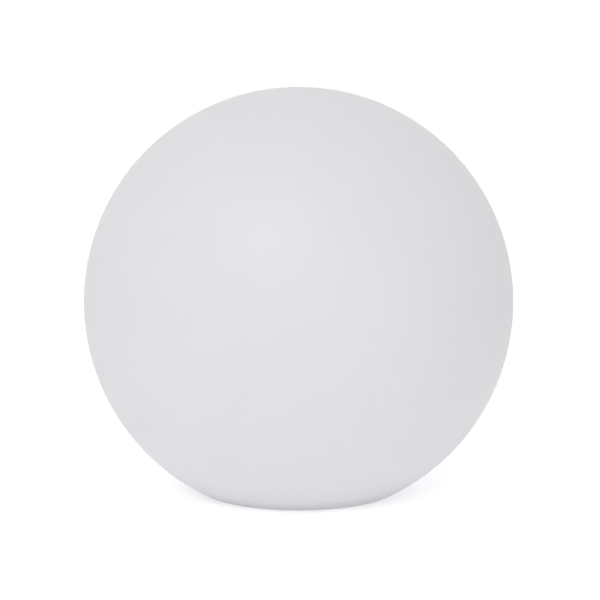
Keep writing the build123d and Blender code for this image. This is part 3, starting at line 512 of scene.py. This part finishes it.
nodeFinishes = {
    "globe_shell": plainFinish("mouldedShell", shellLook),
    "shell_inserts": plainFinish("turnedBrass", brassLook),
    "neck_gasket": rubberFinish,
    "neck_ring": paleFinish,
    "neck_screws": steelFinish,
    "lock_ring": plainFinish("greyPlastic", midLook),
    "unit_housing": plainFinish("whiteHousing", housingLook),
    "unit_seal": rubberFinish,
    "cover_seal": rubberFinish,
    "dome_seal": rubberFinish,
    "dome_cover": plainFinish("frostedDome", domeLook),
    "led_plate": plainFinish("brushedPlate", plateLook),
    "plate_screws": steelFinish,
    "led_board": boardFinish("whiteBoard", whiteBoardLook),
    "led_board_screws": steelFinish,
    "colour_leds": lampFinish,
    "white_leds": lampFinish,
    "remote_receiver": plainFinish("darkLens", receiverLook),
    "battery_cells": cellFinish("wrappedCells", cellLook, cell),
    "battery_tabs": nickelFinish,
    "battery_tray": plainFinish("trayPlastic", trayLook),
    "tray_screws": steelFinish,
    "battery_pad": plainFinish("foam", foamLook),
    "battery_leads": pairFinish("batteryLeads", leadLook, batteryRow),
    "led_leads": rowFinish("lampLeads", leadLook, lampRow),
    "control_board": boardFinish("greenBoard", greenBoardLook),
    "board_parts": blackFinish,
    "board_screws": steelFinish,
    "lead_connectors": plainFinish("nylon", nylonLook),
    "charge_socket": nickelFinish,
    "socket_tongue": blackFinish,
    "charge_led": lampFinish,
    "light_pipe": plainFinish("clearPipe", clearLook),
    "switch_body": blackFinish,
    "bottom_cover": paleFinish,
    "cover_screws": steelFinish,
    "flap_anchor": softGreyFinish,
    "power_button": softGreyFinish,
    "switch_plunger": nickelFinish,
    "port_flap": softGreyFinish,
}
for nodeName, node in nodes.items():
    node.data.materials.clear()
    node.data.materials.append(nodeFinishes[nodeName])
print("finishes:", len(bpy.data.materials), "materials on", len(nodes), "nodes")


# Marks on the underside, raised and read from below.
def markHeights(mark, face):
    # A mark stands proud of the face that it lies under, and is sunk into it a little.
    return face - mark["raised"], face + mark["sunk"]


lockMark = {
    "radius": 57.0,  # middle of the mark, on the neck ring's flange
    "raised": 0.25,
    "sunk": 0.05,
    "body": (4.6, 3.4),
    "shackle": 1.35,  # radius of its half ring
    "line": 0.6,
    "leg": 0.8,
    "root": 0.1,  # how far the fixed leg runs into the body
    "lift": 0.9,  # how far the open shackle is raised
    "freeLeg": 0.4,
    "closedAt": 285.0,  # degrees round the flange
    "openAt": 195.0,
}
lockArrow = {
    "radius": 52.5,
    "width": 0.5,
    "headTurn": 4.0,  # degrees
    "headWidth": 1.5,
    "point": 0.02,
    "gap": 3.0,  # degrees from a padlock to the arrow
}


def padlock(sizes, lift, low, high):
    # A bar for the body, and over it a half ring on two legs. Lift raises the shackle and frees its right
    # leg.
    width, height = sizes["body"]
    side = width / 2
    body = strip([(-side, -height), (-side, 0)], [(side, -height), (side, 0)], low, high)
    rise = sizes["leg"] + lift
    freeEnd = rise + sizes["freeLeg"] if lift else 0
    lines = []
    for radius in (sizes["shackle"] - sizes["line"] / 2, sizes["shackle"] + sizes["line"] / 2):
        halfRing = arc((0, rise), radius, 0, 180, 25)
        lines.append(np.vstack([[(radius, freeEnd)], halfRing, [(-radius, -sizes["root"])]]))
    return joined([body, strip(*lines, low, high)])


def roundArrow(sizes, start, end, low, high, shaftCount=48, headCount=12):
    # A curved arrow: a strip of constant width along a circle, then a head whose width falls to nothing.
    back = end - math.copysign(sizes["headTurn"], end - start)
    angles = np.radians(np.r_[np.linspace(start, back, shaftCount), np.linspace(back, end, headCount)])
    head = np.linspace(sizes["headWidth"] / 2, sizes["point"], headCount)
    half = np.r_[np.full(shaftCount, sizes["width"] / 2), head]
    way = np.stack([np.cos(angles), np.sin(angles)], 1)
    inner, outer = (way * (sizes["radius"] + side * half)[:, None] for side in (-1, 1))
    return strip(inner, outer, low, high)


lockHeights = [flat(height) for height in markHeights(lockMark, lowest("neck_ring"))]
arrowEnds = lockMark["closedAt"] - lockArrow["gap"], lockMark["openAt"] + lockArrow["gap"]
flangeMarks = joined([
    onRing(padlock(lockMark, 0.0, *lockHeights), lockMark["radius"], lockMark["closedAt"]),
    onRing(padlock(lockMark, lockMark["lift"], *lockHeights), lockMark["radius"], lockMark["openAt"]),
    roundArrow(lockArrow, *arrowEnds, *lockHeights),
])
makePiece("flangeMarks", flangeMarks, markFinish, "globe")

pointer = {"tip": 50.5, "tail": 47.3, "half": 1.7, "point": 0.02, "raised": 0.2, "sunk": 0.05}
pointerLines = [
    [(side * pointer["half"], pointer["tail"]), (side * pointer["point"], pointer["tip"])]
    for side in (-1, 1)
]
pointerHeights = [flat(height) for height in markHeights(pointer, lowest("lock_ring"))]
pointerMark = onRing(strip(*pointerLines, *pointerHeights), 0.0, lockMark["closedAt"])
makePiece("ringPointer", pointerMark, paleMarkFinish, "lock_ring")

powerMark = {
    "radius": 2.7,
    "line": 0.55,
    "gap": 34.0,  # degrees from the bar to each end of the ring
    "bar": (0.4, 3.5),
    "raised": 0.14,
    "sunk": 0.08,
    "dishEdge": 5.6,
    "dishDeep": 0.5,
}


def dishHeight(offset):
    # The dish is part of a sphere of radius R: its top less R, plus the square root of R squared less r
    # squared, where R is the sum of the squares of the dish's edge and depth over twice its depth.
    edge, deep = powerMark["dishEdge"], powerMark["dishDeep"]
    radius = (edge**2 + deep**2) / (2 * deep)
    top = lowest("power_button") + deep
    return lambda line: top - radius + np.sqrt(radius**2 - (line**2).sum(1)) + offset


powerHeights = dishHeight(-powerMark["raised"]), dishHeight(powerMark["sunk"])
halfLine = powerMark["line"] / 2
ringEnds = powerMark["gap"] - 90, 270 - powerMark["gap"]
ringLines = [arc((0, 0), powerMark["radius"] + side * halfLine, *ringEnds, 60) for side in (-1, 1)]
barSteps = np.linspace(*powerMark["bar"], 10)
barLines = [np.c_[np.full(10, side * halfLine), -barSteps] for side in (-1, 1)]
powerSurface = joined([strip(*ringLines, *powerHeights), strip(*barLines, *powerHeights)])
makePiece("powerMark", powerSurface, paleMarkFinish, "power_button")

boltMark = {
    "outline": [(0.35, 1.9), (-1.05, -0.25), (-0.05, -0.25), (-0.35, -1.9), (1.05, 0.25), (0.05, 0.25)],
    "size": 1.35,
    "centre": (0.0, 21.4),
    "raised": 0.18,
    "sunk": 0.05,
}
boltLine = np.array(boltMark["outline"]) * boltMark["size"] * [-1, 1] + boltMark["centre"]
boltHeights = markHeights(boltMark, lowest("port_flap"))
boltPoints = np.vstack([np.c_[boltLine, flat(z)(boltLine)] for z in boltHeights])
boltSides = [[k, (k + 1) % 6, (k + 1) % 6 + 6, k + 6] for k in range(6)]
boltFace = [[0, 1, 2], [0, 2, 5], [5, 2, 3], [5, 3, 4]]
boltBack = [[corner + 6 for corner in reversed(face)] for face in boltFace]
boltSurface = boltPoints, boltSides + boltFace + boltBack
makePiece("chargeMark", boltSurface, paleMarkFinish, "port_flap")

batteryMark = {
    "centre": (0.0, -25.2),
    "width": 5.2,
    "height": 2.6,
    "line": 0.45,
    "nub": (0.6, 1.2),
    "inset": 1.7,  # of the charge bars; this, their width and their pitch are in widths of the line
    "bar": 0.9,
    "barPitch": 2.0,
    "raised": 0.18,
    "sunk": 0.05,
}


def batteryBars(sizes):
    # A battery's outline of four bars and a nub, and two charge bars in it, each a block.
    x, y = sizes["centre"]
    w, h, t = sizes["width"] / 2, sizes["height"] / 2, sizes["line"]
    nubLength, nubWidth = sizes["nub"]
    inset = sizes["inset"] * t
    low, high = markHeights(sizes, lowest("bottom_cover"))
    spans = [
        (-w, -h, w, -h + t),
        (-w, h - t, w, h),
        (-w, -h + t, -w + t, h - t),
        (w - t, -h + t, w, h - t),
        (-w - nubLength, -nubWidth / 2, -w, nubWidth / 2),
    ]
    for k in range(2):
        right = w - inset - k * sizes["barPitch"] * t
        spans.append((right - sizes["bar"] * t, -h + inset, right, h - inset))
    return joined([block((x + a, y + b, low), (x + c, y + d, high)) for a, b, c, d in spans])


makePiece("batteryMark", batteryBars(batteryMark), markFinish, "light_unit")
print("marks raised on the underside")

# The charging port: the web that hinges its flap, and the contacts in its socket.
web = {
    "inStrap": 0.05,  # how far it runs into the strap and into the flap
    "inFlap": 0.1,
    "half": 2.7,
    "low": 0.06,  # heights over the flap's outer face
    "high": 0.5,
    "waist": 0.12,
}


def hingeWeb(sizes, along=20, across=12):
    # A thin bridge: y runs from the strap to the flap, x across it, and each face dips by the waist in the
    # middle, as the sine of half a turn.
    ends = lowest("flap_anchor", 1) + sizes["inStrap"], highest("port_flap", 1) - sizes["inFlap"]
    face = lowest("port_flap")
    y = np.linspace(*ends, along)[:, None]
    dip = sizes["waist"] * np.sin(np.pi * np.linspace(0, 1, along))[:, None]
    x = np.linspace(-sizes["half"], sizes["half"], across)[None, :]
    under = np.stack([x + 0 * y, y + 0 * x, face + sizes["low"] + dip + 0 * x], -1)
    over = np.stack([x + 0 * y, y + 0 * x, face + sizes["high"] - dip + 0 * x], -1)[:, ::-1]
    points, faces = gridSurface(np.concatenate([under, over], 1))
    first = np.arange(2 * across)
    last = first + (along - 1) * 2 * across
    return points, faces + [first.tolist(), last[::-1].tolist()]


webPiece = makePiece("hingeWeb", hingeWeb(web), softGreyFinish)
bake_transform(webPiece)

contact = {"pitch": 0.5, "count": 12, "width": 0.25, "proud": 0.03, "fromRoot": 0.2, "fromEdge": 1.3}
contactX = (np.arange(contact["count"]) - (contact["count"] - 1) / 2) * contact["pitch"]
contactY = lowest("socket_tongue", 1), highest("socket_tongue", 1)
contactLow = lowest("socket_tongue") + contact["fromRoot"]
contactHigh = highest("socket_tongue") - contact["fromEdge"]
halfWidth, proud = contact["width"] / 2, contact["proud"]
contactBlocks = [
    block((x - halfWidth, y - proud, contactLow), (x + halfWidth, y + proud, contactHigh))
    for x in contactX for y in contactY
]
makePiece("socketContacts", joined(contactBlocks), goldFinish, "light_unit", smooth=10)
print("charging port dressed")

# Windows over the lights.
lampWindow = {"below": 0.2, "deep": 0.18, "crown": 0.12}  # below the lamp's face
boardEdge = highest("led_board", 0)
lamps = {
    "colourWindows": {
        "node": "colour_leds",
        "circle": boardEdge - 9.5,
        "count": 12,
        "start": 15,
        "radius": 1.98,
        "finish": resinFinish,
    },
    "whiteWindows": {
        "node": "white_leds",
        "circle": 13.0,
        "count": 6,
        "start": 0,
        "radius": 1.38,
        "finish": phosphorFinish,
    },
}


def windowCap(radius, sizes):
    # A plug with a low crown: flat below, and over it z = crown (1 - (r / R) squared).
    r = np.linspace(radius, tip, 8)
    crown = np.c_[r, sizes["crown"] * (1 - (r / radius) ** 2)]
    return turned(np.vstack([[(tip, -sizes["deep"])], [(radius, -sizes["deep"])], crown]), 24)


for windowName, lamp in lamps.items():
    face = highest(lamp["node"]) - lampWindow["below"]
    windowSpots = ringSpots(lamp["circle"], lamp["count"], lamp["start"], face)
    windows = repeated(windowCap(lamp["radius"], lampWindow), windowSpots)
    makePiece(windowName, windows, lamp["finish"], "light_unit")

# Solder where the lamps' leads land, under the connectors' pins and on the switch's legs.
landingJoint = {
    "radius": 0.72,
    "height": 0.6,
    "shank": 0.62,
    "inset": 8.1,  # from the light board's edge
}
pinJoint = {"radius": 0.95, "height": 0.7, "shank": 0.5}
switchJoint = {"radius": 0.6, "height": 0.4, "shank": 0.3, "x": -2.2, "y": 2.4}
solderPeak = 1.05  # height of a cone's point, in heights of its fillet


def solderCone(sizes, sign=1):
    # A fillet of solder: the radius falls as the height rises, r = shank + (R - shank)(1 - t) squared.
    t = np.linspace(0, 1, 7)
    r = sizes["shank"] + (sizes["radius"] - sizes["shank"]) * (1 - t) ** 2
    profile = np.vstack([[(tip, 0)], np.c_[r, t * sizes["height"]], [(tip, sizes["height"] * solderPeak)]])
    return turned(profile * [1, sign], 16)


lampSteps = lampRow["pitch"] * np.arange(-2, 3)
batterySteps = batteryRow["pitch"] * np.array([-0.5, 0.5])
pinX = np.r_[lampRow["middle"] + lampSteps, batteryRow["middle"] + batterySteps]
landingSpots = [(x, landingJoint["inset"] - boardEdge, highest("led_board")) for x in lampSteps]
pinSpots = [(x, middle("lead_connectors", 1), lowest("control_board")) for x in pinX]
switchSpots = [(switchJoint["x"], side * switchJoint["y"], highest("control_board")) for side in (-1, 1)]
solderSurface = joined([
    repeated(solderCone(landingJoint), landingSpots),
    repeated(solderCone(pinJoint, -1), pinSpots),
    repeated(solderCone(switchJoint), switchSpots),
])
makePiece("solderJoints", solderSurface, solderFinish, "light_unit")

chipLeg = {"halfWidth": 0.18, "halfLength": 0.7, "thick": 0.2}
chips = {  # middle, half sizes, legs on each x side and on each y side, and the legs' pitch
    "controller": {"centre": (1.0, 3.0), "half": (3.5, 3.5), "legs": (8, 8), "pitch": 0.8},
    "charger": {"centre": (13.5, 8.0), "half": (2.5, 2.0), "legs": (0, 4), "pitch": 1.1},
    "driver": {"centre": (-4.0, -11.0), "half": (2.5, 2.0), "legs": (0, 4), "pitch": 1.1},
}


def legRows(chip, leg, board):
    # Flat legs along a chip's sides, each a block on the board that reaches under the body.
    legs = []
    for axis in (0, 1):
        other = 1 - axis
        steps = (np.arange(chip["legs"][axis]) - (chip["legs"][axis] - 1) / 2) * chip["pitch"]
        half = np.zeros(2)
        half[axis], half[other] = leg["halfLength"], leg["halfWidth"]
        for step in steps:
            for side in (-1, 1):
                spot = np.array(chip["centre"])
                spot[axis] += side * chip["half"][axis]
                spot[other] += step
                legs.append(block((*(spot - half), board), (*(spot + half), board + leg["thick"])))
    return legs


legBlocks = [leg for chip in chips.values() for leg in legRows(chip, chipLeg, highest("control_board"))]
makePiece("chipLegs", joined(legBlocks), solderFinish, "light_unit", smooth=10)

# Weld spots on the battery's tabs, two over the end of each cell.
weld = {"radius": 0.9, "top": 0.63, "proud": 0.08, "spread": 1.6}
weldCap = turned([(tip, 0), (weld["radius"], 0), (weld["top"], weld["proud"]), (tip, weld["proud"])], 20)


def sideways(surface, x, sign):
    # A shape drawn on XY is stood up against a wall at x: its height becomes x, its x becomes y, and its y
    # becomes z.
    points, faces = surface
    return np.c_[x + sign * points[:, 2], points[:, 0], points[:, 1]], faces


weldPlaces = [
    (0, cellSide * cell["axisY"] + shift, cell["axisZ"])
    for cellSide in (-1, 1) for shift in (-weld["spread"], weld["spread"])
]
weldWalls = [(highest("battery_tabs", 0), 1), (lowest("battery_tabs", 0), -1)]
weldSurface = joined([repeated(sideways(weldCap, x, sign), weldPlaces) for x, sign in weldWalls])
makePiece("weldSpots", weldSurface, nickelFinish, "light_unit")
print("boards and battery dressed")

# Studio: a world that lights softly and shows white.
worldStrength = {"light": 0.665, "shown": 1.0}
world = bpy.data.worlds.new("paleStudio")
bpy.context.scene.world = world
world.use_nodes = True
worldTree = world.node_tree
rays = addNode(worldTree, "LightPath").outputs
shown = maths(worldTree, "MAXIMUM", rays["Is Camera Ray"], rays["Is Glossy Ray"])
shown = maths(worldTree, "MAXIMUM", shown, rays["Is Transmission Ray"])
sky = worldTree.nodes["Background"]
sky.inputs["Color"].default_value = (1, 1, 1, 1)
strength = spread(worldTree, shown, worldStrength["light"], worldStrength["shown"])
worldTree.links.new(strength, sky.inputs["Strength"])

# The floor is a sheet that is seen from above only, so that the underside shows in views from below. Where
# the globe covers it, light passes through. It goes down with the light unit, which it would hide otherwise.
ground = {
    "colour": (0.90, 0.90, 0.90),
    "roughness": 0.9,
    "shown": 0.42,  # glow that the camera sees, and glow that lights the globe
    "glow": 0.20,
    "rings": [20, 60, 120, 300, 1000, 3000, 10000, 80000],
    "around": 128,
    "covered": 62.9,  # radius
    "level": -0.2,
}
floorFinish, floorTree, floorShader = newFinish("floor")
floorShader.inputs["Base Color"].default_value = (*ground["colour"], 1)
floorShader.inputs["Roughness"].default_value = ground["roughness"]
floorShader.inputs["Specular IOR Level"].default_value = 0.0
floorShader.inputs["Emission Color"].default_value = (1, 1, 1, 1)
cameraRay = addNode(floorTree, "LightPath").outputs["Is Camera Ray"]
glow = spread(floorTree, cameraRay, ground["glow"], ground["shown"])
floorTree.links.new(glow, floorShader.inputs["Emission Strength"])
floorPlace = place(floorTree)
fromMiddle = distance(floorTree, floorPlace["X"], floorPlace["Y"])
covered = maths(floorTree, "LESS_THAN", fromMiddle, ground["covered"] * mm)
lightPasses = maths(floorTree, "MULTIPLY", covered, maths(floorTree, "SUBTRACT", 1.0, cameraRay))
fromBelow = addNode(floorTree, "NewGeometry").outputs["Backfacing"]
oneSided = addNode(floorTree, "MixShader", {0: maths(floorTree, "MAXIMUM", fromBelow, lightPasses)})
floorTree.links.new(floorShader.outputs[0], oneSided.inputs[1])
floorTree.links.new(addNode(floorTree, "BsdfTransparent").outputs[0], oneSided.inputs[2])
floorTree.links.new(oneSided.outputs[0], floorTree.nodes["Material Output"].inputs["Surface"])

r = np.array(ground["rings"])[:, None]
a = np.linspace(0, 2 * np.pi, ground["around"], endpoint=False)[None, :]
floorGrid = np.stack([r * np.cos(a), r * np.sin(a), ground["level"] + 0 * r * a], -1)
floorPoints, floorFaces = gridSurface(floorGrid, startPole=[0, 0, ground["level"]])
floorMesh = bpy.data.meshes.new("floor")
floorMesh.from_pydata((floorPoints * mm).tolist(), [], floorFaces)
floorMesh.materials.append(floorFinish)
floor = bpy.data.objects.new("floor", floorMesh)
collection.objects.link(floor)
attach(floor, "light_unit")

softLights = {  # place, watts and size of each soft light; both look at the globe
    "keyLight": {"place": (-0.52, -1.68, 1.6), "watts": 14.2, "size": 1.6},
    "fillLight": {"place": (1.2, -1.6, 0.9), "watts": 2.0, "size": 1.6},
}
globeCentre = Vector((0, 0, 0.1335))
for lightName, light in softLights.items():
    bulb = bpy.data.lights.new(lightName, "AREA")
    bulb.shape = "DISK"
    bulb.size = light["size"]
    bulb.energy = light["watts"]
    stand = bpy.data.objects.new(lightName, bulb)
    stand.location = light["place"]
    stand.rotation_euler = (globeCentre - stand.location).to_track_quat("-Z", "Y").to_euler()
    collection.objects.link(stand)

view = {
    "distance": 1.5,
    "elevation": 8.0,
    "lens": 128.26,
    "sensor": 36,
    "clip": (0.01, 100),
    "aimRight": 0.00095,
    "aimUp": 0.00118,
}
tilt = math.radians(view["elevation"])
camera = bpy.data.objects.new("camera", bpy.data.cameras.new("camera"))
camera.data.sensor_width = view["sensor"]
camera.data.lens = view["lens"]
camera.data.clip_start, camera.data.clip_end = view["clip"]
camera.location = globeCentre + view["distance"] * Vector((0, -math.cos(tilt), math.sin(tilt)))
aim = globeCentre + Vector((view["aimRight"], 0, view["aimUp"]))
camera.rotation_euler = (aim - camera.location).to_track_quat("-Z", "Y").to_euler()
collection.objects.link(camera)
bpy.context.scene.camera = camera
bpy.context.scene.view_settings.view_transform = "Standard"
print("studio and camera set")
